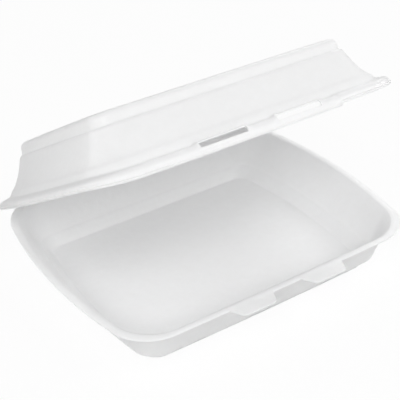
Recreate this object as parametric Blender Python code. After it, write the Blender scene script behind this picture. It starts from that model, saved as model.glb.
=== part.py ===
"""Foam clamshell container, standing open: a tray with two latch tabs and a lid with two latch slots."""

import math

import bmesh
import bpy
from mathutils import Matrix, Vector

# Plan of the tray's rim, in metres
RIM_WIDTH = 0.240
RIM_DEPTH = 0.195
RIM_HEIGHT = 0.0363
SIDE_BOW = 0.013
FRONT_BOW = 0.0009
FRONT_CORNER = 0.023
REAR_CORNER = 0.029

# Tray: the rim band, the foam and the foot
RIM_BAND = 0.0038
RIM_THICKNESS = 0.0015
RIM_EDGE_ROUND = 0.0005
RIM_LINE_DEPTH = 0.0003
TRAY_FOAM = 0.0022
FLOOR_FOAM = 0.0024
WALL_TOP_INSET = 0.0064
WALL_TOP_DROP = 0.0048
WALL_FOOT_INSET = 0.0154
WALL_FOOT_HEIGHT = 0.0108
STEP_INSET = 0.0176
STEP_HEIGHT = 0.0076
STEP_BACK_INSET = 0.0198
FOOT_INSET = 0.0222
FOOT_ROUND = 0.0030
FOOT_CORNER = 0.0100
FOOT_BOW = 0.0070
FOOT_NARROWING = 0.0026

# Latch tabs on the front of the rim
LATCH_SPACING = 0.0554
TAB_ROOT_WIDTH = 0.033
TAB_TIP_WIDTH = 0.0238
TAB_LENGTH = 0.0102
TAB_CORNER = 0.0030
TAB_THICKNESS = 0.0012
TAB_RISE = 0.0010
TAB_SEAT = 0.0016
TAB_SINK = 0.0001

# Lid, as it stands when shut: heights above the tray's rim, insets from the rim's outline
LID_FOAM = 0.0020
LIP_FOAM = 0.0009
LIP_REACH = 0.0044
LIP_DROP = 0.0032
LIP_THICKNESS = 0.0014
FLARE_SHARES = ((0.96, 1), (0.55, 0.86), (0.25, 0.62), (0.08, 0.3))
FLARE_REACH = 0.0036
FLARE_DROP = 0.0004
BEAD_REACH = 0.0013
BEAD_HEIGHT = 0.0019
CREASE_INSET = 0.0032
CREASE_HEIGHT = 0.0012
SIDE_CREASE_HEIGHT = 0.0028
LEDGE_INSET = 0.0053
LEDGE_HEIGHT = 0.0062
LID_WALL_INSET = 0.0075
LID_WALL_FOOT = 0.0090
SHOULDER_INSET = 0.0162
SHOULDER_HEIGHT = 0.0265
BORDER_INSET = 0.0190
BORDER_HEIGHT = 0.0283
TOP_INSET = 0.0230
LID_HEIGHT = 0.0362
TOP_ROUND = 0.0030
LID_CORNER_SHARE = 0.85
LID_TOP_CORNER = 0.009
LID_REAR_CORNER = 0.021
LID_TOP_BOW = 0.0045
LID_NARROWING = 0.0037

# Apron and latch slots in the lid's front
APRON_DROP = 0.0064
APRON_FLARE_DROP = 0.0025
APRON_CROWN = 0.0013
APRON_BLEND_SHARE = 0.34
APRON_NOTCH = 0.0011
APRON_LEFT_SHARE = 0.58
APRON_RIGHT_SHARE = 0.695
LEFT_LIP_SHARE = 0.9
RIGHT_LIP_SHARE = 0.5
SLOT_CLEARANCE = 0.0003
SLOT_BELOW = 0.0007
SLOT_ABOVE = 0.0015
SLOT_CUT = 0.012

# Hinge along the back of the rim
HINGE_OFFSET = 0.0026
HINGE_GAP = 0.0003
HINGE_FLANGE = 0.0012
OPEN_ANGLE_DEG = 31.2

# Mesh fineness, as counts
CORNER_STEPS = 9
SIDE_STEPS = 12
REAR_STEPS = 8
APRON_STEPS = 6
FRONT_STEPS = 4


def clear_scene():
    """Remove every object of the start scene."""
    for obj in list(bpy.data.objects):
        bpy.data.objects.remove(obj, do_unlink=True)


def mix(a, b, share):
    """Value between a and b."""
    return a + (b - a) * share


def smooth(share):
    """Share eased at both ends."""
    t = min(max(share, 0), 1)
    return t * t * (3 - 2 * t)


def foam_material(name, tone):
    """White foam with a soft sheen."""
    mat = bpy.data.materials.new(name)
    mat.use_nodes = True
    shader = mat.node_tree.nodes["Principled BSDF"]
    shader.inputs["Base Color"].default_value = (tone, tone, tone, 1)
    shader.inputs["Roughness"].default_value = 0.55
    mat.diffuse_color = (tone, tone, tone, 1)
    return mat


def notch_share():
    """Length of the apron's notch as a share of half of the lip's straight front."""
    return APRON_NOTCH / (RIM_WIDTH / 2 - SIDE_BOW - FRONT_CORNER)


def apron_share(place):
    """How much of the apron a place on the front takes, from -1 at the left corner to 1 at the right."""
    if place < -APRON_LEFT_SHARE:
        return mix(LEFT_LIP_SHARE, 1, smooth((place + APRON_LEFT_SHARE) / APRON_BLEND_SHARE + 1))
    if place > APRON_RIGHT_SHARE - notch_share():
        return mix(RIGHT_LIP_SHARE, 1, smooth((APRON_RIGHT_SHARE - place) / notch_share()))
    return 1


def front_places():
    """Places along the straight front, left to right, as shares of its half length."""
    start = -APRON_LEFT_SHARE - APRON_BLEND_SHARE
    stop = APRON_RIGHT_SHARE - notch_share()
    places = [mix(start, -APRON_LEFT_SHARE, k / APRON_STEPS) for k in range(APRON_STEPS)]
    places += [mix(-APRON_LEFT_SHARE, stop, k / FRONT_STEPS) for k in range(FRONT_STEPS + 1)]
    return places + [APRON_RIGHT_SHARE]


def arc(cx, cy, radius, start, hinge_share, front_share):
    """Quarter turn about a corner's centre, with its first and last points."""
    points = []
    for k in range(CORNER_STEPS + 1):
        turn = k / CORNER_STEPS
        angle = math.radians(start + 90 * turn)
        x = cx + radius * math.cos(angle)
        y = cy + radius * math.sin(angle)
        points.append((x, y, hinge_share(turn), front_share(turn)))
    return points


def lift_share(hinge):
    """How far the lip has lifted onto the hinge flange, which it does before it turns in."""
    return smooth(2 * hinge)


def shift_share(hinge):
    """How far the edge has moved to the hinge line."""
    return smooth(2 * hinge - 1)


def no_share(turn):
    """Share of a corner that neither the hinge side nor the apron reaches."""
    return 0


def outline(half_width, front, rear, front_corner, rear_corner):
    """Rounded rectangle from the front's left end, with each point's shares of the hinge side and the apron."""
    fx = half_width - front_corner
    rx = half_width - rear_corner
    fy = -front + front_corner
    ry = rear - rear_corner
    points = [(fx * place, -front, 0, apron_share(place)) for place in front_places()]
    points += arc(fx, fy, front_corner, -90, no_share, lambda turn: RIGHT_LIP_SHARE * smooth(1 - turn))
    points += [(half_width, mix(fy, ry, k / SIDE_STEPS), 0, 0) for k in range(1, SIDE_STEPS)]
    points += arc(rx, ry, rear_corner, 0, lambda turn: max(2 * turn - 1, 0), no_share)
    points += [(mix(rx, -rx, k / REAR_STEPS), rear, 1, 0) for k in range(1, REAR_STEPS)]
    points += arc(-rx, ry, rear_corner, 90, lambda turn: max(1 - 2 * turn, 0), no_share)
    points += [(-half_width, mix(ry, fy, k / SIDE_STEPS), 0, 0) for k in range(1, SIDE_STEPS)]
    points += arc(-fx, fy, front_corner, 180, no_share, lambda turn: LEFT_LIP_SHARE * smooth(turn))
    return points


def bowed_ring(inset, narrowing, bow, front_corner, rear_corner):
    """One ring of the shell in plan, with sides and front bowed outwards."""
    straight = RIM_WIDTH / 2 - inset - narrowing - bow
    front = RIM_DEPTH / 2 - FRONT_BOW - inset
    rear = RIM_DEPTH / 2 - inset
    ring = []
    for x, y, hinge, apron in outline(straight, front, rear, front_corner, rear_corner):
        across = x / straight
        along = y / front if y < 0 else y / rear
        bowed_x = x + bow * across * (1 - along * along)
        lean = FRONT_BOW * along * (1 - across * across)
        ring.append((bowed_x, y + lean if y < 0 else y, hinge, apron))
    return ring


def offset_line(points, distance):
    """Copy of a section line moved sideways, to the left of its run, by the foam's thickness."""
    moved = []
    for k, (a, z) in enumerate(points):
        before = points[max(k - 1, 0)]
        after = points[min(k + 1, len(points) - 1)]
        first = Vector((a - before[0], z - before[1]))
        second = Vector((after[0] - a, after[1] - z))
        first = first.normalized() if first.length > 0 else second.normalized()
        second = second.normalized() if second.length > 0 else first
        run = (first + second).normalized()
        stretch = max(run.dot(first), 0.6)
        thick = distance[k] / stretch
        moved.append((a - run.y * thick, z + run.x * thick))
    return moved


def tray_outer():
    """Outside of the tray's section, from the foot up to the rim, as insets and heights."""
    return [
        (FOOT_INSET + FOOT_ROUND, 0),
        (FOOT_INSET + FOOT_ROUND * 0.4, FOOT_ROUND * 0.16),
        (FOOT_INSET, FOOT_ROUND * 0.62),
        (mix(FOOT_INSET, STEP_BACK_INSET, 0.6), mix(FOOT_ROUND, STEP_HEIGHT, 0.5)),
        (STEP_BACK_INSET, mix(FOOT_ROUND, STEP_HEIGHT, 0.85)),
        (STEP_INSET, STEP_HEIGHT),
        (mix(STEP_INSET, WALL_FOOT_INSET, 0.7), mix(STEP_HEIGHT, WALL_FOOT_HEIGHT, 0.4)),
        (WALL_FOOT_INSET, WALL_FOOT_HEIGHT),
        (WALL_TOP_INSET, RIM_HEIGHT - WALL_TOP_DROP),
        (mix(WALL_TOP_INSET, RIM_BAND, 0.5), RIM_HEIGHT - mix(WALL_TOP_DROP, RIM_THICKNESS, 0.6)),
        (RIM_BAND, RIM_HEIGHT - mix(WALL_TOP_DROP, RIM_THICKNESS, 0.95)),
    ]


def tray_section():
    """Whole section of the tray, out along the underside, round the rim and back along the inside."""
    outer = tray_outer()
    foam = [FLOOR_FOAM] * 2 + [TRAY_FOAM] * (len(outer) - 4)
    mid = mix(TRAY_FOAM, RIM_THICKNESS, 0.5)
    inner = offset_line(outer, [-f for f in foam + [mid, mid]])
    edge = [
        (RIM_EDGE_ROUND, RIM_HEIGHT - RIM_THICKNESS),
        (0, RIM_HEIGHT - RIM_THICKNESS / 2),
        (RIM_EDGE_ROUND, RIM_HEIGHT),
        (RIM_BAND - RIM_EDGE_ROUND, RIM_HEIGHT),
        (RIM_BAND, RIM_HEIGHT - RIM_LINE_DEPTH),
        (RIM_BAND + RIM_EDGE_ROUND, RIM_HEIGHT - RIM_LINE_DEPTH),
    ]
    floor = [(inner[0][0], FLOOR_FOAM)]
    return outer + edge + inner[-3:0:-1] + floor, len(outer) + 3


def tray_rings():
    """Rings of the tray with their heights, from the underside round to the inside floor."""
    section, inside_from = tray_section()
    rings = []
    for k, (inset, z) in enumerate(section):
        down = smooth((RIM_HEIGHT - z) / RIM_HEIGHT)
        bow = mix(SIDE_BOW, FOOT_BOW, down)
        thin = TRAY_FOAM if k > inside_from + 2 else 0
        front_corner = mix(FRONT_CORNER, FOOT_CORNER, down) - thin
        rear_corner = mix(REAR_CORNER, FOOT_CORNER, down) - thin
        on_edge = len(tray_outer()) <= k < inside_from
        reach = HINGE_OFFSET - HINGE_GAP / 2 if on_edge else 0
        plan = bowed_ring(inset, down * FOOT_NARROWING, bow, front_corner, rear_corner)
        rings.append([(x, y + reach * shift_share(hinge), z) for x, y, hinge, apron in plan])
    return rings


def loft(name, rings, material):
    """Closed body through the rings, capped at both ends."""
    bm = bmesh.new()
    rows = [[bm.verts.new(p) for p in ring] for ring in rings]
    count = len(rows[0])
    for low, high in zip(rows, rows[1:]):
        for k in range(count):
            n = (k + 1) % count
            bm.faces.new((low[k], low[n], high[n], high[k]))
    bm.faces.new(list(reversed(rows[0])))
    bm.faces.new(rows[-1])
    bmesh.ops.recalc_face_normals(bm, faces=bm.faces)
    mesh = bpy.data.meshes.new(name)
    bm.to_mesh(mesh)
    bm.free()
    mesh.materials.append(material)
    obj = bpy.data.objects.new(name, mesh)
    bpy.context.scene.collection.objects.link(obj)
    return obj


def apply_boolean(target, other, operation):
    """Join or cut one body with another, then drop the other."""
    modifier = target.modifiers.new("Boolean", "BOOLEAN")
    modifier.operation = operation
    modifier.solver = "EXACT"
    modifier.object = other
    graph = bpy.context.evaluated_depsgraph_get()
    mesh = bpy.data.meshes.new_from_object(target.evaluated_get(graph))
    target.modifiers.clear()
    old = target.data
    target.data = mesh
    bpy.data.meshes.remove(old)
    bpy.data.objects.remove(other, do_unlink=True)


def tab_outline():
    """Plan of one tab from its root in the rim, as offsets from its middle."""
    half_root = TAB_ROOT_WIDTH / 2
    half_tip = TAB_TIP_WIDTH / 2
    side = Vector((half_root - half_tip, TAB_LENGTH)).normalized()
    near = (half_tip + side.x * TAB_CORNER, -TAB_LENGTH + side.y * TAB_CORNER)
    far = (half_tip - TAB_CORNER, -TAB_LENGTH)
    middle = (mix(mix(near[0], far[0], 0.5), half_tip, 0.5), mix(mix(near[1], far[1], 0.5), -TAB_LENGTH, 0.5))
    half = [(half_root, TAB_SEAT), (half_root, 0), near, middle, far]
    return half + [(-x, y) for x, y in reversed(half)]


def tab_body(centre_x, material):
    """One latch tab, rising a little towards its tip."""
    front = -RIM_DEPTH / 2 + FRONT_BOW * (2 * centre_x / RIM_WIDTH) ** 2
    rings = []
    for drop in (TAB_SINK + TAB_THICKNESS, TAB_SINK):
        ring = []
        for x, y in tab_outline():
            rise = TAB_RISE * max(-y / TAB_LENGTH, 0)
            ring.append((centre_x + x, front + y, RIM_HEIGHT - drop + rise))
        rings.append(ring)
    return loft("tab", rings, material)


def build_tray():
    """Tray with its rim, hinge flange and two latch tabs."""
    foam = foam_material("foam_tray", 0.86)
    tray = loft("base", tray_rings(), foam)
    for side in (-1, 1):
        apply_boolean(tray, tab_body(side * LATCH_SPACING / 2, foam), "UNION")
    return tray


def lid_upper():
    """Outside of the lid's section from above the crease up to the top."""
    return [
        (mix(CREASE_INSET, LEDGE_INSET, 0.5), mix(CREASE_HEIGHT, LEDGE_HEIGHT, 0.4)),
        (LEDGE_INSET, mix(CREASE_HEIGHT, LEDGE_HEIGHT, 0.9)),
        (mix(LEDGE_INSET, LID_WALL_INSET, 0.5), mix(LEDGE_HEIGHT, LID_WALL_FOOT, 0.4)),
        (mix(LEDGE_INSET, LID_WALL_INSET, 0.9), mix(LEDGE_HEIGHT, LID_WALL_FOOT, 0.7)),
        (mix(LID_WALL_INSET, SHOULDER_INSET, 0.08), mix(LID_WALL_FOOT, SHOULDER_HEIGHT, 0.06)),
        (mix(LID_WALL_INSET, SHOULDER_INSET, 0.95), mix(LID_WALL_FOOT, SHOULDER_HEIGHT, 0.96)),
        (mix(SHOULDER_INSET, BORDER_INSET, 0.3), mix(SHOULDER_HEIGHT, BORDER_HEIGHT, 0.35)),
        (mix(SHOULDER_INSET, BORDER_INSET, 0.8), mix(SHOULDER_HEIGHT, BORDER_HEIGHT, 0.65)),
        (BORDER_INSET, BORDER_HEIGHT),
        (mix(BORDER_INSET, TOP_INSET, 0.3), LID_HEIGHT - TOP_ROUND),
        (mix(BORDER_INSET, TOP_INSET, 0.6), LID_HEIGHT - TOP_ROUND * 0.3),
        (TOP_INSET + TOP_ROUND * 0.3, LID_HEIGHT),
        (TOP_INSET + TOP_ROUND * 1.5, LID_HEIGHT),
    ]


def flare_line(drop, flare_drop, crown, crease):
    """One form of the lip and bead: up from the lip's edge, in over the flare and the bead, to the crease."""
    line = [(-LIP_REACH, -drop + LIP_THICKNESS), (-FLARE_REACH, -mix(flare_drop, drop - LIP_THICKNESS, 0.6))]
    for reach_share, drop_share in FLARE_SHARES:
        reach = mix(BEAD_REACH, FLARE_REACH, reach_share)
        line.append((-reach, mix(crown, -flare_drop, drop_share)))
    return line + [(-BEAD_REACH * 0.4, crown), (CREASE_INSET, crease)]


def lip_lines():
    """The lip and bead in three forms of equal count: plain, as apron, and as hinge flange."""
    plain = flare_line(LIP_DROP, FLARE_DROP, BEAD_HEIGHT, SIDE_CREASE_HEIGHT)
    apron = flare_line(APRON_DROP, APRON_FLARE_DROP, APRON_CROWN, CREASE_HEIGHT)
    flange = []
    for k in range(len(plain)):
        inset = mix(HINGE_GAP / 2 - HINGE_OFFSET, CREASE_INSET, k / (len(plain) - 1))
        flange.append((inset, HINGE_GAP + HINGE_FLANGE))
    return plain, apron, flange


def lid_section(lip, under):
    """Whole section of the lid, out along the inside, round the lip and back over the outside."""
    outer = lip + lid_upper()
    foam = [LIP_FOAM] * len(lip) + [LID_FOAM] * len(lid_upper())
    inner = offset_line(outer, [-f for f in foam])
    if under is None:
        lip_inner = [(lip[0][0] + LIP_THICKNESS * 0.3, lip[0][1] - LIP_THICKNESS)] + inner[1 : len(lip)]
    else:
        lip_inner = [(a, under) for a, z in lip]
    top_inner = [(outer[-1][0], LID_HEIGHT - LID_FOAM)]
    return top_inner + inner[-2 : len(lip) - 1 : -1] + lip_inner[::-1] + outer


def lid_rings():
    """Rings of the shut lid, from the inside of its top round to the outside."""
    plain, apron, flange = lip_lines()
    sections = (lid_section(plain, None), lid_section(apron, None), lid_section(flange, HINGE_GAP))
    inside_count = len(sections[0]) // 2
    rings = []
    for k, ((inset, z), (apron_inset, apron_z), (rear_inset, rear_z)) in enumerate(zip(*sections)):
        up = smooth((z - LID_WALL_FOOT) / (LID_HEIGHT - LID_WALL_FOOT))
        bow = mix(SIDE_BOW, LID_TOP_BOW, up)
        thin = LID_FOAM if k < inside_count else 0
        front_corner = max(FRONT_CORNER - inset * LID_CORNER_SHARE, LID_TOP_CORNER)
        rear_corner = mix(REAR_CORNER, LID_REAR_CORNER, up) - thin
        lean = smooth((z - CREASE_HEIGHT) / (SHOULDER_HEIGHT - CREASE_HEIGHT))
        ring = []
        for x, y, hinge, front in bowed_ring(inset, lean * LID_NARROWING, bow, front_corner, rear_corner):
            height = mix(mix(z, apron_z, front), rear_z, lift_share(hinge))
            reach = (apron_inset - inset) * front + (inset - rear_inset) * shift_share(hinge)
            ring.append((x, y + reach, RIM_HEIGHT + height))
        rings.append(ring)
    return rings


def slot_cutter(centre_x, material):
    """Straight bar that cuts one latch slot through the lid's front."""
    half = TAB_ROOT_WIDTH / 2 + SLOT_CLEARANCE
    low = RIM_HEIGHT - TAB_SINK - TAB_THICKNESS - SLOT_BELOW
    high = RIM_HEIGHT + TAB_RISE * 0.4 + SLOT_ABOVE
    near = -RIM_DEPTH / 2
    rings = []
    for z in (low, high):
        corners = ((-half, near - SLOT_CUT), (half, near - SLOT_CUT), (half, near), (-half, near))
        rings.append([(centre_x + x, y, z) for x, y in corners])
    return loft("slot", rings, material)


def hinge_point():
    """Middle of the hinge line."""
    return Vector((0, RIM_DEPTH / 2 + HINGE_OFFSET, RIM_HEIGHT + HINGE_GAP / 2))


def build_lid():
    """Lid with its slots, turned open about the hinge line, which holds its origin."""
    foam = foam_material("foam_lid", 0.87)
    lid = loft("lid", lid_rings(), foam)
    for side in (-1, 1):
        apply_boolean(lid, slot_cutter(side * LATCH_SPACING / 2, foam), "DIFFERENCE")
    turn = Matrix.Rotation(-math.radians(OPEN_ANGLE_DEG), 4, "X")
    lid.data.transform(turn @ Matrix.Translation(-hinge_point()))
    lid.location = hinge_point()
    return lid


def main():
    clear_scene()
    build_tray()
    build_lid()


main()
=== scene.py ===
"""Looks of the foam clamshell container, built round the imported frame."""

import math

import bmesh
import bpy
from mathutils import Matrix, Vector


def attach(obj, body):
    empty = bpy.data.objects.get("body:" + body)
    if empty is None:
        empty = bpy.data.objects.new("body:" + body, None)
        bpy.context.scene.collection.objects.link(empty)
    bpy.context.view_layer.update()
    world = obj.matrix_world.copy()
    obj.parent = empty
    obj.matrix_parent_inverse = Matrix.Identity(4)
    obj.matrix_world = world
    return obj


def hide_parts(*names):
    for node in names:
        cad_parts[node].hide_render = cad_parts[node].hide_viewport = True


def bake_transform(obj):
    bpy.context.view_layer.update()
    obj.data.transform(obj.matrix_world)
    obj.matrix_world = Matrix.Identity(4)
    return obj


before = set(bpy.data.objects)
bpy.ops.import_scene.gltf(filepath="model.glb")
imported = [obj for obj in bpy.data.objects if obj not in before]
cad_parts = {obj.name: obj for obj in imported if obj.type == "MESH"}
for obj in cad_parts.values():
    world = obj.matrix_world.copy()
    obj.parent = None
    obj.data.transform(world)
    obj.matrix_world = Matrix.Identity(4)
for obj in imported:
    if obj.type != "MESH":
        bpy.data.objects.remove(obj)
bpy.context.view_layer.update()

# Plan of the tray's rim, in metres, as in the solids
RIM_WIDTH = 0.240
RIM_DEPTH = 0.195
RIM_HEIGHT = 0.0363
SIDE_BOW = 0.013
FRONT_BOW = 0.0009
FRONT_CORNER = 0.023
REAR_CORNER = 0.029

# Tray: the rim band, the foam and the foot
RIM_BAND = 0.0038
RIM_THICKNESS = 0.0015
RIM_EDGE_ROUND = 0.0005
RIM_LINE_DEPTH = 0.0003
TRAY_FOAM = 0.0022
FLOOR_FOAM = 0.0024
WALL_TOP_INSET = 0.0064
WALL_TOP_DROP = 0.0048
WALL_FOOT_INSET = 0.0154
WALL_FOOT_HEIGHT = 0.0108
STEP_INSET = 0.0176
STEP_HEIGHT = 0.0076
STEP_BACK_INSET = 0.0198
FOOT_INSET = 0.0222
FOOT_ROUND = 0.0030
FOOT_CORNER = 0.0100
FOOT_BOW = 0.0070
FOOT_NARROWING = 0.0026

# Latch tabs on the front of the rim
LATCH_SPACING = 0.0554
TAB_ROOT_WIDTH = 0.033
TAB_TIP_WIDTH = 0.0238
TAB_LENGTH = 0.0102
TAB_CORNER = 0.0030
TAB_THICKNESS = 0.0012
TAB_RISE = 0.0010
TAB_SEAT = 0.0016
TAB_SINK = 0.0001
TAB_EDGE_ROUND = 0.0003

# Lid, as it stands when shut: heights above the tray's rim, insets from the rim's outline
LID_FOAM = 0.0020
LIP_FOAM = 0.0009
LIP_DROP = 0.0032
LIP_THICKNESS = 0.0014
LIP_LEAN = 0.00042
LIP_KICK = 0.0006
KICK_STEP = 0.0004
BEAD_TURNS_DEG = (108, 30)
BEAD_REACH = 0.0036
BEAD_TOP_REACH = 0.00052
BEAD_HEIGHT = 0.0019
CREASE_INSET = 0.0032
CREASE_HEIGHT = 0.0012
SIDE_CREASE_HEIGHT = 0.0028
LEDGE_INSET = 0.0050
LEDGE_HEIGHT = 0.0062
LID_WALL_INSET = 0.0075
LID_WALL_FOOT = 0.0090
SHOULDER_INSET = 0.0162
SHOULDER_HEIGHT = 0.0265
BORDER_INSET = 0.0190
BORDER_HEIGHT = 0.0283
TOP_INSET = 0.0230
LID_HEIGHT = 0.0362
TOP_ROUND = 0.0030
LID_CORNER_SHARE = 0.62
LID_TOP_CORNER = 0.009
LID_REAR_CORNER = 0.021
LID_TOP_BOW = 0.0045
LID_NARROWING = 0.0037

# Apron and latch slots in the lid's front
APRON_DROP = 0.0064
APRON_CROWN = 0.0013
APRON_BLEND_SHARE = 0.34
APRON_NOTCH = 0.0011
APRON_LEFT_SHARE = 0.58
APRON_RIGHT_SHARE = 0.695
LEFT_LIP_SHARE = 0.9
RIGHT_LIP_SHARE = 0.5
SLOT_CLEARANCE = 0.0003
SLOT_CUT = 0.012
SLOT_CORNER = 0.0009
SLOT_LOWER = 0.0015
SLOT_UPPER = 0.0029
HOOD_RISE = 0.0011
HOOD_FOOT = 0.0019
HOOD_INSET = 0.0052
HOOD_FADE = 0.0020
HOOD_END = 0.0040

# Hinge along the back of the rim, and the thin web of the pressed crease
HINGE_OFFSET = 0.0026
HINGE_GAP = 0.0003
HINGE_FLANGE = 0.0012
OPEN_ANGLE_DEG = 31.2
WEB_RADIUS = 0.00062
WEB_THICKNESS = 0.00040
WEB_START_DEG = -118

# Softening of section lines, spacing of cap rings, and the angle from which an edge is crisp
SOFT_CUT = 0.25
EDGE_NEAR = 0.2
EDGE_WITHIN = 0.25
SHARPEST_STRETCH = 0.6
CAP_POWER = 0.8
SHARP_DEG = 56

# Mesh fineness, as counts
ROUNDS = 2
ROUND_STEPS = 6
LEFT_STEPS = 2
NOTCH_STEPS = 3
CORNER_STEPS = 34
SIDE_STEPS = 72
REAR_STEPS = 40
APRON_STEPS = 16
FRONT_STEPS = 60
LIP_STEPS = 8
BEAD_STEPS = 6
CAP_RINGS = 6
WEB_STEPS = 14

# Foam's skin: colour, light under the skin, and textures as scale, detail and roughness
FOAM_TONE = (0.975, 0.976, 0.979)
SUBSURFACE_WEIGHT = 0.5
SUBSURFACE_SCALE = 0.0025
MOTTLE_NOISE = (170, 4, 0.6)
MOTTLE_STOPS = (0.3, 0.7)
MOTTLE_DARK = 0.975
GLOSS_NOISE = (260, 3, 0.5)
GLOSS_RANGE = (0.36, 0.50)
CELL_SCALE = 900
BROAD_NOISE = (120, 3, 0.55)
# Bumps, each as strength and distance in metres
CELL_BUMP = (0.25, 0.00008)
BROAD_BUMP = (0.45, 0.0004)

# Floor and surroundings
FLOOR_REACH = 6.0
FLOOR_DROP = 0.0002
FLOOR_COLOUR = (0.82, 0.82, 0.82, 1)
FLOOR_GLOW = 0.93
WORLD_STRENGTH = 0.11

# Camera: direction, distance and lens, with the point it looks at, in metres
VIEW_AZIMUTH_DEG = -32.34
VIEW_ELEVATION_DEG = 32.52
VIEW_ROLL_DEG = -2.33
VIEW_DISTANCE = 0.73532
VIEW_TARGET = (0.01979, 0.03280, 0.02519)
SENSOR_MM = 36
LENS_MM = 89.82
CLIP_START = 0.01

# Square soft boxes that face one point: name, place and power in watts
LAMP_AIM = Vector((0, -0.02, 0.06))
LAMP_SIZE = 0.8
LAMPS = (
    ("front_left", (-0.75, -0.9, 1.05), 10.9),
    ("front_right", (0.75, -0.9, 1.05), 5.9),
    ("right", (1.4, -0.35, 0.75), 1.8),
    ("right_low", (1.4, -0.6, 0.3), 4.5),
    ("left_low", (-1.4, -0.6, 0.3), 2.6),
    ("rear_left", (-1.0, 1.0, 0.8), 5.2),
    ("rear_right", (1.0, 1.0, 0.8), 4.8),
)


def mix(a, b, share):
    """Value between a and b."""
    return a + (b - a) * share


def smooth(share):
    """Share eased at both ends."""
    t = min(max(share, 0), 1)
    return t * t * (3 - 2 * t)


def part_way(a, b, inset_share, height_share):
    """Point between two points of a section, by a share for its inset and one for its height."""
    return (mix(a[0], b[0], inset_share), mix(a[1], b[1], height_share))


def between(a, b, share):
    """Point on the line from a to b."""
    return part_way(a, b, share, share)


def eased(points):
    """Line with gentler turns: its ends, and the middles of its stretches for its corners."""
    middles = [between(a, b, 0.5) for a, b in zip(points, points[1:])]
    return [points[0]] + middles + [points[-1]]


def soften(points):
    """Section line with its corners cut, which keeps its ends and stays within its corners."""
    for _ in range(ROUNDS):
        cut = [points[0]]
        for a, b in zip(points, points[1:]):
            cut += [between(a, b, SOFT_CUT), between(a, b, 1 - SOFT_CUT)]
        points = cut + [points[-1]]
    return points


def notch_share():
    """Length of the apron's notch as a share of half of the lip's straight front."""
    return APRON_NOTCH / (RIM_WIDTH / 2 - SIDE_BOW - FRONT_CORNER)


def apron_share(place):
    """How much of the apron a place on the front takes, from -1 at its left to 1 at its right."""
    if place < -APRON_LEFT_SHARE:
        blend = (place + APRON_LEFT_SHARE) / APRON_BLEND_SHARE + 1
        return mix(LEFT_LIP_SHARE, 1, smooth(blend))
    if place > APRON_RIGHT_SHARE - notch_share():
        blend = (APRON_RIGHT_SHARE - place) / notch_share()
        return mix(RIGHT_LIP_SHARE, 1, smooth(blend))
    return 1


def front_places():
    """Places along the straight front, left to right, as shares of its half length."""
    blend = -APRON_LEFT_SHARE - APRON_BLEND_SHARE
    notch = APRON_RIGHT_SHARE - notch_share()
    marks = (-1, blend, -APRON_LEFT_SHARE, notch, APRON_RIGHT_SHARE, 1)
    counts = (LEFT_STEPS, APRON_STEPS, FRONT_STEPS, NOTCH_STEPS, LIP_STEPS)
    places = []
    for low, high, count in zip(marks, marks[1:], counts):
        places += [mix(low, high, k / count) for k in range(count)]
    return places


def arc(cx, cy, radius, start, hinge_share, front_share):
    """Quarter turn about a corner's centre, with its first and last points."""
    points = []
    for k in range(CORNER_STEPS + 1):
        turn = k / CORNER_STEPS
        angle = math.radians(start + 90 * turn)
        x = cx + radius * math.cos(angle)
        y = cy + radius * math.sin(angle)
        points.append((x, y, hinge_share(turn), front_share(turn)))
    return points


def lift_share(hinge):
    """How far the lip has lifted onto the hinge flange, which it does before it turns in."""
    return smooth(2 * hinge)


def shift_share(hinge):
    """How far the edge has moved to the hinge line."""
    return smooth(2 * hinge - 1)


def no_share(turn):
    """Share of a corner that neither the hinge side nor the apron reaches."""
    return 0


def outline(half_width, front, rear, front_corner, rear_corner):
    """Rounded rectangle from the front's left end, with each point's hinge and apron shares."""
    fx = half_width - front_corner
    rx = half_width - rear_corner
    fy = -front + front_corner
    ry = rear - rear_corner
    side = [k / SIDE_STEPS for k in range(1, SIDE_STEPS)]
    back = [k / REAR_STEPS for k in range(1, REAR_STEPS)]

    def lip_right(turn):
        return RIGHT_LIP_SHARE * smooth(1 - turn)

    def lip_left(turn):
        return LEFT_LIP_SHARE * smooth(turn)

    points = [(fx * place, -front, 0, apron_share(place)) for place in front_places()[1:]]
    points += arc(fx, fy, front_corner, -90, no_share, lip_right)
    points += [(half_width, mix(fy, ry, share), 0, 0) for share in side]
    points += arc(rx, ry, rear_corner, 0, lambda turn: max(2 * turn - 1, 0), no_share)
    points += [(mix(rx, -rx, share), rear, 1, 0) for share in back]
    points += arc(-rx, ry, rear_corner, 90, lambda turn: max(1 - 2 * turn, 0), no_share)
    points += [(-half_width, mix(ry, fy, share), 0, 0) for share in side]
    points += arc(-fx, fy, front_corner, 180, no_share, lip_left)
    return points


def bowed_ring(inset, narrowing, bow, front_corner, rear_corner):
    """One ring of the shell in plan, with sides and front bowed outwards."""
    straight = RIM_WIDTH / 2 - inset - narrowing - bow
    front = RIM_DEPTH / 2 - FRONT_BOW - inset
    rear = RIM_DEPTH / 2 - inset
    ring = []
    for x, y, hinge, apron in outline(straight, front, rear, front_corner, rear_corner):
        across = x / straight
        along = y / front if y < 0 else y / rear
        bowed_x = x + bow * across * (1 - along * along)
        lean = FRONT_BOW * along * (1 - across * across)
        ring.append((bowed_x, y + lean if y < 0 else y, hinge, apron))
    return ring


def offset_line(points, distances):
    """Copy of a section line moved to the left of its run, by each point's distance."""
    moved = []
    for k, (a, z) in enumerate(points):
        before = points[max(k - 1, 0)]
        after = points[min(k + 1, len(points) - 1)]
        first = Vector((a - before[0], z - before[1]))
        second = Vector((after[0] - a, after[1] - z))
        first = first.normalized() if first.length > 0 else second.normalized()
        second = second.normalized() if second.length > 0 else first
        run = (first + second).normalized()
        thick = distances[k] / max(run.dot(first), SHARPEST_STRETCH)
        moved.append((a - run.y * thick, z + run.x * thick))
    return moved


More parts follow.
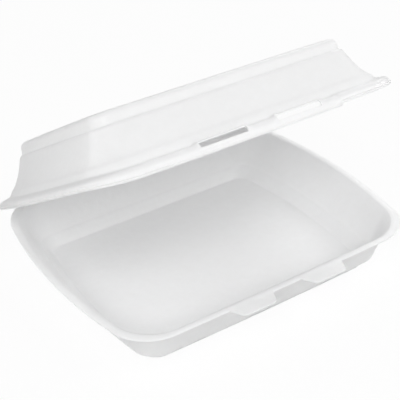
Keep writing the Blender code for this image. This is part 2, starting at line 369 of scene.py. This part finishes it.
def tray_outer():
    """Outside of the tray's section, from the foot up to the rim, as insets and heights."""
    foot = (FOOT_INSET, FOOT_ROUND)
    step_back = (STEP_BACK_INSET, STEP_HEIGHT)
    step = (STEP_INSET, STEP_HEIGHT)
    wall_foot = (WALL_FOOT_INSET, WALL_FOOT_HEIGHT)
    wall_top = (WALL_TOP_INSET, RIM_HEIGHT - WALL_TOP_DROP)
    rim_foot = (RIM_BAND, RIM_HEIGHT - RIM_THICKNESS)
    return [
        (FOOT_INSET + FOOT_ROUND, 0),
        (FOOT_INSET + FOOT_ROUND * 0.4, FOOT_ROUND * 0.16),
        (FOOT_INSET, FOOT_ROUND * 0.62),
        part_way(foot, step_back, 0.6, 0.5),
        part_way(foot, step_back, 1, 0.85),
        step,
        part_way(step, wall_foot, 0.7, 0.4),
        wall_foot,
        wall_top,
        part_way(wall_top, rim_foot, 0.5, 0.6),
        part_way(wall_top, rim_foot, 1, 0.95),
    ]


def tray_section():
    """Outside, edge and inside of the tray's section, each as insets and heights."""
    outer = tray_outer()
    near_rim = mix(TRAY_FOAM, RIM_THICKNESS, 0.5)
    foam = [FLOOR_FOAM] * 2 + [TRAY_FOAM] * (len(outer) - 4) + [near_rim] * 2
    inner = offset_line(outer, [-f for f in foam])
    edge = [
        (0, RIM_HEIGHT - RIM_THICKNESS),
        (0, RIM_HEIGHT),
        (RIM_BAND - RIM_EDGE_ROUND, RIM_HEIGHT),
        (RIM_BAND, RIM_HEIGHT - RIM_LINE_DEPTH),
        (RIM_BAND + RIM_EDGE_ROUND, RIM_HEIGHT - RIM_LINE_DEPTH),
    ]
    inside = inner[-3:5:-1] + inner[4:0:-2] + [(inner[0][0], FLOOR_FOAM)]
    return outer, edge, eased(inside)


def tray_rings():
    """Rings of the tray with their heights, from the underside round to the inside floor."""
    outer, edge, inside = tray_section()
    section = [(a, z, 0, 0) for a, z in outer]
    section += [(a, z, 1 if a == 0 else 0, 0) for a, z in edge]
    section += [(a, z, 0, TRAY_FOAM) for a, z in inside]
    places = soften([(a, z) for a, z, reach, thin in section])
    extras = soften([(reach, thin) for a, z, reach, thin in section])
    rings = []
    for (inset, z), (reach, thin) in zip(places, extras):
        down = smooth((RIM_HEIGHT - z) / RIM_HEIGHT)
        bow = mix(SIDE_BOW, FOOT_BOW, down)
        front_corner = mix(FRONT_CORNER, FOOT_CORNER, down) - thin
        rear_corner = mix(REAR_CORNER, FOOT_CORNER, down) - thin
        back = (HINGE_OFFSET - HINGE_GAP / 2) * reach
        plan = bowed_ring(inset, down * FOOT_NARROWING, bow, front_corner, rear_corner)
        rings.append([(x, y + back * shift_share(hinge), z) for x, y, hinge, _ in plan])
    return rings


def shrunk(ring):
    """Rings that close a cap towards its middle."""
    middle = Vector((0, 0, ring[0][2]))
    shares = [(k / CAP_RINGS) ** CAP_POWER for k in range(1, CAP_RINGS)]
    return [[tuple(Vector(p).lerp(middle, share)) for p in ring] for share in shares]


def loft(name, rings, capped=True):
    """Closed body through the rings, with its caps closed towards their middles."""
    if capped:
        rings = shrunk(rings[0])[::-1] + rings + shrunk(rings[-1])
    bm = bmesh.new()
    rows = [[bm.verts.new(p) for p in ring] for ring in rings]
    count = len(rows[0])
    for low, high in zip(rows, rows[1:]):
        for k in range(count):
            n = (k + 1) % count
            bm.faces.new((low[k], low[n], high[n], high[k]))
    bm.faces.new(list(reversed(rows[0])))
    bm.faces.new(rows[-1])
    bmesh.ops.recalc_face_normals(bm, faces=bm.faces)
    mesh = bpy.data.meshes.new(name)
    bm.to_mesh(mesh)
    bm.free()
    obj = bpy.data.objects.new(name, mesh)
    bpy.context.scene.collection.objects.link(obj)
    return obj


def apply_boolean(target, other, operation):
    """Join or cut one body with another, then drop the other."""
    modifier = target.modifiers.new("Boolean", "BOOLEAN")
    modifier.operation = operation
    modifier.solver = "EXACT"
    modifier.object = other
    graph = bpy.context.evaluated_depsgraph_get()
    mesh = bpy.data.meshes.new_from_object(target.evaluated_get(graph))
    target.modifiers.clear()
    old = target.data
    target.data = mesh
    bpy.data.meshes.remove(old)
    bpy.data.objects.remove(other, do_unlink=True)


def tab_outline(shrink):
    """Plan of one tab from its root in the rim, as offsets from its middle."""
    half_root = TAB_ROOT_WIDTH / 2 - shrink
    half_tip = TAB_TIP_WIDTH / 2 - shrink
    length = TAB_LENGTH - shrink
    side = Vector((half_root - half_tip, length)).normalized()
    near = Vector((half_tip + side.x * TAB_CORNER, -length + side.y * TAB_CORNER))
    far = Vector((half_tip - TAB_CORNER, -length))
    tip = Vector((half_tip, -length))
    half = [(half_root, TAB_SEAT), (half_root, 0)]
    for k in range(ROUND_STEPS + 1):
        t = k / ROUND_STEPS
        half.append(tuple(near.lerp(tip, t).lerp(tip.lerp(far, t), t)))
    return half + [(-x, y) for x, y in reversed(half)]


def tab_body(centre_x):
    """One latch tab, rising a little towards its tip, with softened edges."""
    front = -RIM_DEPTH / 2 + FRONT_BOW * (2 * centre_x / RIM_WIDTH) ** 2
    edge = [(TAB_EDGE_ROUND * a, TAB_EDGE_ROUND * b) for a, b in ((0, 1), (0.3, 0.3), (1, 0))]
    layers = [(TAB_SINK + TAB_THICKNESS - drop, shrink) for drop, shrink in edge]
    layers += [(TAB_SINK + drop, shrink) for drop, shrink in reversed(edge)]
    rings = []
    for drop, shrink in layers:
        ring = []
        for x, y in tab_outline(shrink):
            rise = TAB_RISE * max(-y / TAB_LENGTH, 0)
            ring.append((centre_x + x, front + y, RIM_HEIGHT - drop + rise))
        rings.append(ring)
    return loft("tab", rings, capped=False)


def lid_upper():
    """Outside of the lid's section from above the crease up to the top."""
    crease = (CREASE_INSET, CREASE_HEIGHT)
    ledge = (LEDGE_INSET, LEDGE_HEIGHT)
    wall_foot = (LID_WALL_INSET, LID_WALL_FOOT)
    shoulder = (SHOULDER_INSET, SHOULDER_HEIGHT)
    border = (BORDER_INSET, BORDER_HEIGHT)
    return [
        part_way(crease, ledge, 0.5, 0.4),
        part_way(crease, ledge, 1, 0.9),
        part_way(ledge, wall_foot, 0.5, 0.4),
        part_way(ledge, wall_foot, 0.9, 0.7),
        part_way(wall_foot, shoulder, 0.08, 0.06),
        part_way(wall_foot, shoulder, 0.95, 0.96),
        part_way(shoulder, border, 0.3, 0.35),
        part_way(shoulder, border, 0.8, 0.65),
        border,
        (mix(BORDER_INSET, TOP_INSET, 0.3), LID_HEIGHT - TOP_ROUND),
        (mix(BORDER_INSET, TOP_INSET, 0.6), LID_HEIGHT - TOP_ROUND * 0.3),
        (TOP_INSET + TOP_ROUND * 0.3, LID_HEIGHT),
        (TOP_INSET + TOP_ROUND * 1.5, LID_HEIGHT),
    ]


def bead_line(drop, crown, crease_height):
    """One form of the lip and bead: up from the lip's edge, over the round bead, to the crease."""
    low, high = [math.radians(turn) for turn in BEAD_TURNS_DEG]
    lip_top = -drop + LIP_THICKNESS
    crease = (CREASE_INSET, crease_height)
    line = [(-BEAD_REACH - LIP_KICK, lip_top)]
    for k in range(BEAD_STEPS + 1):
        turn = mix(low, high, k / BEAD_STEPS)
        out = (math.sin(turn) - math.sin(high)) / (1 - math.sin(high))
        up = (math.cos(turn) - math.cos(low)) / (math.cos(high) - math.cos(low))
        reach = mix(BEAD_TOP_REACH, BEAD_REACH, out)
        line.append((-reach, mix(lip_top + KICK_STEP, crown, up)))
    return line + [part_way((-BEAD_TOP_REACH, crown), crease, 0.5, 0.4), crease]


def lip_lines():
    """The lip and bead in three forms of equal count: plain, as apron, and as hinge flange."""
    plain = bead_line(LIP_DROP, BEAD_HEIGHT, SIDE_CREASE_HEIGHT)
    apron = bead_line(APRON_DROP, APRON_CROWN, CREASE_HEIGHT)
    flange = []
    for k in range(len(plain)):
        inset = mix(HINGE_GAP / 2 - HINGE_OFFSET, CREASE_INSET, k / (len(plain) - 1))
        flange.append((inset, HINGE_GAP + HINGE_FLANGE))
    return plain, apron, flange


def lid_section(lip, under):
    """Whole section of the lid, out along the inside, round the lip and back over the outside.

    A height for under makes the lip's underside flat there, as on the hinge flange."""
    outer = lip + lid_upper()
    foam = [LIP_FOAM] * len(lip) + [LID_FOAM] * (len(outer) - len(lip))
    inner = offset_line(outer, [-f for f in foam])
    if under is None:
        lip_inner = [(lip[0][0] + LIP_LEAN, lip[0][1] - LIP_THICKNESS)] + inner[1 : len(lip)]
    else:
        lip_inner = [(a, under) for a, _ in lip]
    top_inner = [(outer[-1][0], LID_HEIGHT - LID_FOAM)]
    return top_inner + inner[-2 : len(lip) - 1 : -1] + lip_inner[::-1] + outer


def hold_edge(points):
    """Line with near points beside the two corners at its middle, so that softening keeps them."""
    k = len(points) // 2
    before, low, high, after = points[k - 2 : k + 2]
    lower = [between(low, before, EDGE_NEAR), low, between(low, high, EDGE_WITHIN)]
    upper = [between(high, low, EDGE_WITHIN), high, between(high, after, EDGE_NEAR)]
    return points[: k - 1] + lower + upper + points[k + 1 :]


def hood_rise(x, inset, z):
    """How far the bead is raised over the latch slots, at a place on the shut lid's front."""
    away = min(abs(x - side * LATCH_SPACING / 2) for side in (-1, 1))
    along = smooth((TAB_ROOT_WIDTH / 2 + HOOD_END - away) / HOOD_END)
    above = smooth((z + HOOD_FOOT) / HOOD_FOOT)
    outside = smooth((HOOD_INSET - inset) / HOOD_FADE)
    return HOOD_RISE * along * above * outside


def lid_lines():
    """The lid's section as plain lip, apron and hinge flange, and its thinning and kick."""
    plain, apron, flange = lip_lines()
    sections = [lid_section(plain, None), lid_section(apron, None), lid_section(flange, HINGE_GAP)]
    half = len(sections[0]) // 2
    thins = [LID_FOAM] * half + [0] * half
    kicks = [LIP_KICK if k in (half - 1, half) else 0 for k in range(2 * half)]
    lines = sections + [list(zip(thins, kicks))]
    return [soften(hold_edge(eased(line[:half]) + eased(line[half:]))) for line in lines]


def lid_rings():
    """Rings of the shut lid, from the inside of its top round to the outside."""
    rings = []
    for plain, apron, flange, (thin, kick) in zip(*lid_lines()):
        inset, z = plain
        up = smooth((z - LID_WALL_FOOT) / (LID_HEIGHT - LID_WALL_FOOT))
        bow = mix(SIDE_BOW, LID_TOP_BOW, up)
        front_corner = max(FRONT_CORNER - inset * LID_CORNER_SHARE, LID_TOP_CORNER)
        rear_corner = mix(REAR_CORNER, LID_REAR_CORNER, up) - thin
        lean = smooth((z - CREASE_HEIGHT) / (SHOULDER_HEIGHT - CREASE_HEIGHT))
        plan = bowed_ring(inset, lean * LID_NARROWING, bow, front_corner, rear_corner)
        ring = []
        for x, y, hinge, front in plan:
            height = mix(mix(z, apron[1], front), flange[1], lift_share(hinge))
            reach = (apron[0] - inset) * front + (inset - flange[0]) * shift_share(hinge)
            reach += kick * smooth((front - LEFT_LIP_SHARE) / (1 - LEFT_LIP_SHARE))
            if front == 1:
                height += hood_rise(x, *apron)
            ring.append((x, y + reach, RIM_HEIGHT + height))
        rings.append(ring)
    return rings


def slot_cutter(centre_x):
    """Bar with rounded corners that cuts one latch slot through the lid's front."""
    half = TAB_ROOT_WIDTH / 2 + SLOT_CLEARANCE - SLOT_CORNER
    low = RIM_HEIGHT - SLOT_LOWER + SLOT_CORNER
    high = RIM_HEIGHT + SLOT_UPPER - SLOT_CORNER
    near = -RIM_DEPTH / 2
    section = []
    for x, z, start in ((half, high, 0), (-half, high, 90), (-half, low, 180), (half, low, 270)):
        for k in range(ROUND_STEPS + 1):
            angle = math.radians(start + 90 * k / ROUND_STEPS)
            section.append((x + SLOT_CORNER * math.cos(angle), z + SLOT_CORNER * math.sin(angle)))
    rings = [[(centre_x + x, y, z) for x, z in section] for y in (near - SLOT_CUT, near)]
    return loft("slot", rings, capped=False)


def hinge_point():
    """Middle of the hinge line."""
    return Vector((0, RIM_DEPTH / 2 + HINGE_OFFSET, RIM_HEIGHT + HINGE_GAP / 2))


def opening_turn():
    """The turn about the hinge line from shut to the open rest."""
    turn = Matrix.Rotation(-math.radians(OPEN_ANGLE_DEG), 4, "X")
    return Matrix.Translation(hinge_point()) @ turn @ Matrix.Translation(-hinge_point())


def shade(obj, material):
    """Smooth shading with crisp cut edges, in one material."""
    obj.data.materials.clear()
    obj.data.materials.append(material)
    obj.data.shade_smooth()
    obj.data.set_sharp_from_angle(angle=math.radians(SHARP_DEG))


def build_tray(material):
    """Fine shell of the tray, standing for its solid."""
    tray = loft("tray_shell", tray_rings())
    for side in (-1, 1):
        apply_boolean(tray, tab_body(side * LATCH_SPACING / 2), "UNION")
    shade(tray, material)
    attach(tray, "tray")
    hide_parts("base")


def build_lid(material):
    """Fine shell of the lid, standing for its solid."""
    lid = loft("lid_shell", lid_rings())
    for side in (-1, 1):
        apply_boolean(lid, slot_cutter(side * LATCH_SPACING / 2), "DIFFERENCE")
    lid.data.transform(opening_turn())
    shade(lid, material)
    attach(lid, "lid")
    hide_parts("lid")


def build_web(material):
    """Thin web of foam in the crease, curved round the hinge line as the lid stands open at rest.
    """
    pivot = hinge_point()
    span = -2 * WEB_START_DEG - OPEN_ANGLE_DEG
    half = RIM_WIDTH / 2 - SIDE_BOW - REAR_CORNER
    turns = [k / WEB_STEPS for k in range(WEB_STEPS + 1)]
    outside = [(WEB_RADIUS, turn) for turn in turns]
    inside = [(WEB_RADIUS - WEB_THICKNESS, turn) for turn in reversed(turns)]
    section = []
    for radius, turn in outside + inside:
        angle = math.radians(WEB_START_DEG + span * turn)
        section.append((pivot.y + radius * math.cos(angle), pivot.z + radius * math.sin(angle)))
    places = [mix(-half, half, k / REAR_STEPS) for k in range(REAR_STEPS + 1)]
    web = loft("hinge_web", [[(x, y, z) for y, z in section] for x in places], capped=False)
    shade(web, material)
    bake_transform(web)


def foam_material(name):
    """Skinned white foam: soft sheen, fine cells, gentle unevenness and a faint mottle."""
    mat = bpy.data.materials.new(name)
    mat.use_nodes = True
    nodes = mat.node_tree.nodes
    links = mat.node_tree.links
    coords = nodes.new("ShaderNodeTexCoord")

    def texture(kind, scale):
        node = nodes.new(kind)
        node.inputs["Scale"].default_value = scale
        links.new(coords.outputs["Object"], node.inputs["Vector"])
        return node

    def noise(scale, detail, roughness):
        node = texture("ShaderNodeTexNoise", scale)
        node.inputs["Detail"].default_value = detail
        node.inputs["Roughness"].default_value = roughness
        return node.outputs["Fac"]

    def bump(height, strength, distance):
        node = nodes.new("ShaderNodeBump")
        node.inputs["Strength"].default_value = strength
        node.inputs["Distance"].default_value = distance
        links.new(height, node.inputs["Height"])
        return node

    colour = nodes.new("ShaderNodeValToRGB")
    stops = colour.color_ramp.elements
    for stop, place, level in zip(stops, MOTTLE_STOPS, (MOTTLE_DARK, 1)):
        stop.position = place
        stop.color = [level * c for c in FOAM_TONE] + [1]
    gloss = nodes.new("ShaderNodeMapRange")
    gloss.inputs["To Min"].default_value, gloss.inputs["To Max"].default_value = GLOSS_RANGE
    cells = texture("ShaderNodeTexVoronoi", CELL_SCALE)
    cells.feature = "SMOOTH_F1"
    fine = bump(cells.outputs["Distance"], *CELL_BUMP)
    broad = bump(noise(*BROAD_NOISE), *BROAD_BUMP)
    shader = nodes["Principled BSDF"]
    shader.inputs["Subsurface Weight"].default_value = SUBSURFACE_WEIGHT
    shader.inputs["Subsurface Radius"].default_value = (1, 1, 1)
    shader.inputs["Subsurface Scale"].default_value = SUBSURFACE_SCALE
    links.new(noise(*MOTTLE_NOISE), colour.inputs["Fac"])
    links.new(colour.outputs["Color"], shader.inputs["Base Color"])
    links.new(noise(*GLOSS_NOISE), gloss.inputs["Value"])
    links.new(gloss.outputs["Result"], shader.inputs["Roughness"])
    links.new(fine.outputs["Normal"], broad.inputs["Normal"])
    links.new(broad.outputs["Normal"], shader.inputs["Normal"])
    return mat


def bright_to_camera(material, colour, glow):
    """Pale surface that the camera sees near white, with the object's shadow kept."""
    nodes = material.node_tree.nodes
    links = material.node_tree.links
    nodes.clear()
    plain = nodes.new("ShaderNodeBsdfDiffuse")
    plain.inputs["Color"].default_value = colour
    lit = nodes.new("ShaderNodeBsdfDiffuse")
    lit.inputs["Color"].default_value = (1 - glow, 1 - glow, 1 - glow, 1)
    emit = nodes.new("ShaderNodeEmission")
    emit.inputs["Strength"].default_value = glow
    both = nodes.new("ShaderNodeAddShader")
    path = nodes.new("ShaderNodeLightPath")
    choose = nodes.new("ShaderNodeMixShader")
    out = nodes.new("ShaderNodeOutputMaterial")
    links.new(lit.outputs[0], both.inputs[0])
    links.new(emit.outputs[0], both.inputs[1])
    links.new(path.outputs["Is Camera Ray"], choose.inputs[0])
    links.new(plain.outputs[0], choose.inputs[1])
    links.new(both.outputs[0], choose.inputs[2])
    links.new(choose.outputs[0], out.inputs["Surface"])


def build_floor():
    """Plain pale floor, just under the foot."""
    corners = ((-1, -1), (1, -1), (1, 1), (-1, 1))
    points = [(FLOOR_REACH * x, FLOOR_REACH * y, 0) for x, y in corners]
    mesh = bpy.data.meshes.new("floor")
    mesh.from_pydata(points, [], [(0, 1, 2, 3)])
    floor = bpy.data.objects.new("floor", mesh)
    floor.location.z = -FLOOR_DROP
    bpy.context.scene.collection.objects.link(floor)
    material = bpy.data.materials.new("floor_pale")
    material.use_nodes = True
    bright_to_camera(material, FLOOR_COLOUR, FLOOR_GLOW)
    mesh.materials.append(material)


def build_world():
    """Even soft surroundings, white where the camera or a glossy or clear surface shows them."""
    world = bpy.data.worlds.new("studio")
    world.use_nodes = True
    bpy.context.scene.world = world
    nodes = world.node_tree.nodes
    links = world.node_tree.links
    back = nodes["Background"]
    back.inputs["Color"].default_value = (1, 1, 1, 1)
    path = nodes.new("ShaderNodeLightPath")
    camera_or_glossy = nodes.new("ShaderNodeMath")
    camera_or_glossy.operation = "MAXIMUM"
    seen = nodes.new("ShaderNodeMath")
    seen.operation = "MAXIMUM"
    level = nodes.new("ShaderNodeMapRange")
    level.inputs["To Min"].default_value = WORLD_STRENGTH
    level.inputs["To Max"].default_value = 1
    links.new(path.outputs["Is Camera Ray"], camera_or_glossy.inputs[0])
    links.new(path.outputs["Is Glossy Ray"], camera_or_glossy.inputs[1])
    links.new(camera_or_glossy.outputs[0], seen.inputs[0])
    links.new(path.outputs["Is Transmission Ray"], seen.inputs[1])
    links.new(seen.outputs[0], level.inputs["Value"])
    links.new(level.outputs["Result"], back.inputs["Strength"])


def add_lamp(name, place, power):
    """One square soft box."""
    lamp = bpy.data.lights.new(name, "AREA")
    lamp.energy = power
    lamp.size = LAMP_SIZE
    obj = bpy.data.objects.new(name, lamp)
    obj.location = place
    obj.rotation_euler = (LAMP_AIM - Vector(place)).to_track_quat("-Z", "Y").to_euler()
    bpy.context.scene.collection.objects.link(obj)


def add_camera():
    """Camera at the photograph's view."""
    azimuth = math.radians(VIEW_AZIMUTH_DEG)
    elevation = math.radians(VIEW_ELEVATION_DEG)
    roll = math.radians(VIEW_ROLL_DEG)
    flat = math.cos(elevation)
    back = Vector((math.sin(azimuth) * flat, -math.cos(azimuth) * flat, math.sin(elevation)))
    level_right = Vector((math.cos(azimuth), math.sin(azimuth), 0))
    level_up = back.cross(level_right)
    right = level_right * math.cos(roll) + level_up * math.sin(roll)
    up = level_up * math.cos(roll) - level_right * math.sin(roll)
    data = bpy.data.cameras.new("camera")
    data.sensor_width = SENSOR_MM
    data.lens = LENS_MM
    data.clip_start = CLIP_START
    camera = bpy.data.objects.new("camera", data)
    camera.matrix_world = Matrix((right, up, back)).transposed().to_4x4()
    camera.location = Vector(VIEW_TARGET) + back * VIEW_DISTANCE
    bpy.context.scene.collection.objects.link(camera)
    bpy.context.scene.camera = camera


foam_tray = foam_material("foam_tray_skin")
foam_lid = foam_material("foam_lid_skin")
build_tray(foam_tray)
build_lid(foam_lid)
build_web(foam_lid)
build_floor()
build_world()
for name, place, power in LAMPS:
    add_lamp(name, place, power)
add_camera()
bpy.context.scene.view_settings.view_transform = "Standard"
